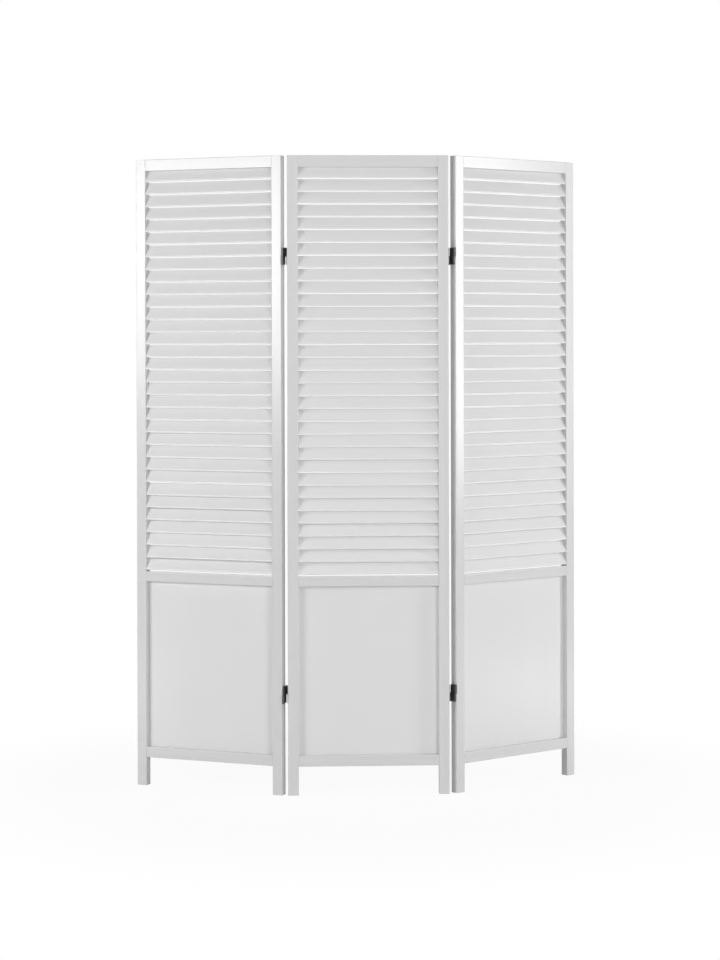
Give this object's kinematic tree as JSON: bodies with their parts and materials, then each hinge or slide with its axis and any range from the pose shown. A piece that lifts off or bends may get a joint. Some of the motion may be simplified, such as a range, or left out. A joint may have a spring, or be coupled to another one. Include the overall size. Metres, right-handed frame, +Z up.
{
  "type": "folding screen",
  "caption": "Free-standing wooden room divider of hinged panels, each with fixed louvre slats above a flat lower board, standing on its stiles.",
  "frame": {"origin": "middle of the footprint's bounding box, on the floor under the feet", "axes": "+X to the right along the centre panel as seen from its front, +Y to the back, where both side panels fold to, +Z up"},
  "size_m": [1.2058, 0.2754, 1.7],
  "materials": {
    "white_painted_wood": "satin white paint",
    "bare_wood": "bare, unfinished",
    "dark_bronze": "dark bronze",
    "bright_steel": "plain plated"
  },
  "bodies": {
    "centre_panel": {"centre_panel_left_stile": "white_painted_wood", "centre_panel_right_stile": "white_painted_wood", "centre_panel_top_rail": "white_painted_wood", "centre_panel_mid_rail": "white_painted_wood", "centre_panel_bottom_rail": "white_painted_wood", "centre_panel_louvre_slats": "white_painted_wood", "centre_panel_lower_board": "white_painted_wood", "centre_panel_dowels": "bare_wood", "centre_panel_hinge_screws": "bright_steel", "left_upper_hinge_centre_leaf": "dark_bronze", "left_lower_hinge_centre_leaf": "dark_bronze", "right_upper_hinge_centre_leaf": "dark_bronze", "right_lower_hinge_centre_leaf": "dark_bronze"},
    "left_hinge_links": {"left_upper_hinge_link": "dark_bronze", "left_upper_hinge_back_pin": "dark_bronze", "left_upper_hinge_front_pin": "dark_bronze", "left_lower_hinge_link": "dark_bronze", "left_lower_hinge_back_pin": "dark_bronze", "left_lower_hinge_front_pin": "dark_bronze"},
    "left_panel": {"left_panel_outer_stile": "white_painted_wood", "left_panel_inner_stile": "white_painted_wood", "left_panel_top_rail": "white_painted_wood", "left_panel_mid_rail": "white_painted_wood", "left_panel_bottom_rail": "white_painted_wood", "left_panel_louvre_slats": "white_painted_wood", "left_panel_lower_board": "white_painted_wood", "left_panel_dowels": "bare_wood", "left_panel_hinge_screws": "bright_steel", "left_upper_hinge_side_leaf": "dark_bronze", "left_lower_hinge_side_leaf": "dark_bronze"},
    "right_hinge_links": {"right_upper_hinge_link": "dark_bronze", "right_upper_hinge_back_pin": "dark_bronze", "right_upper_hinge_front_pin": "dark_bronze", "right_lower_hinge_link": "dark_bronze", "right_lower_hinge_back_pin": "dark_bronze", "right_lower_hinge_front_pin": "dark_bronze"},
    "right_panel": {"right_panel_inner_stile": "white_painted_wood", "right_panel_outer_stile": "white_painted_wood", "right_panel_top_rail": "white_painted_wood", "right_panel_mid_rail": "white_painted_wood", "right_panel_bottom_rail": "white_painted_wood", "right_panel_louvre_slats": "white_painted_wood", "right_panel_lower_board": "white_painted_wood", "right_panel_dowels": "bare_wood", "right_panel_hinge_screws": "bright_steel", "right_upper_hinge_side_leaf": "dark_bronze", "right_lower_hinge_side_leaf": "dark_bronze"}
  },
  "joints": [
    {"name": "left_back_fold", "type": "hinge", "parent": "centre_panel", "child": "left_hinge_links", "pos_m": [-0.19936, -0.11268, 0.85], "axis": [0, 0, -1], "range_deg": [-24.5, 155.5]},
    {"name": "left_front_fold", "type": "hinge", "parent": "left_hinge_links", "child": "left_panel", "pos_m": [-0.20952, -0.13498, 0.85], "axis": [0, 0, 1], "range_deg": [0, 90]},
    {"name": "right_back_fold", "type": "hinge", "parent": "centre_panel", "child": "right_hinge_links", "pos_m": [0.23704, -0.11268, 0.85], "axis": [0, 0, 1], "range_deg": [-35.5, 54.5]},
    {"name": "right_front_fold", "type": "hinge", "parent": "right_hinge_links", "child": "right_panel", "pos_m": [0.25127, -0.13263, 0.85], "axis": [0, 0, -1], "range_deg": [0, 180]}
  ]
}
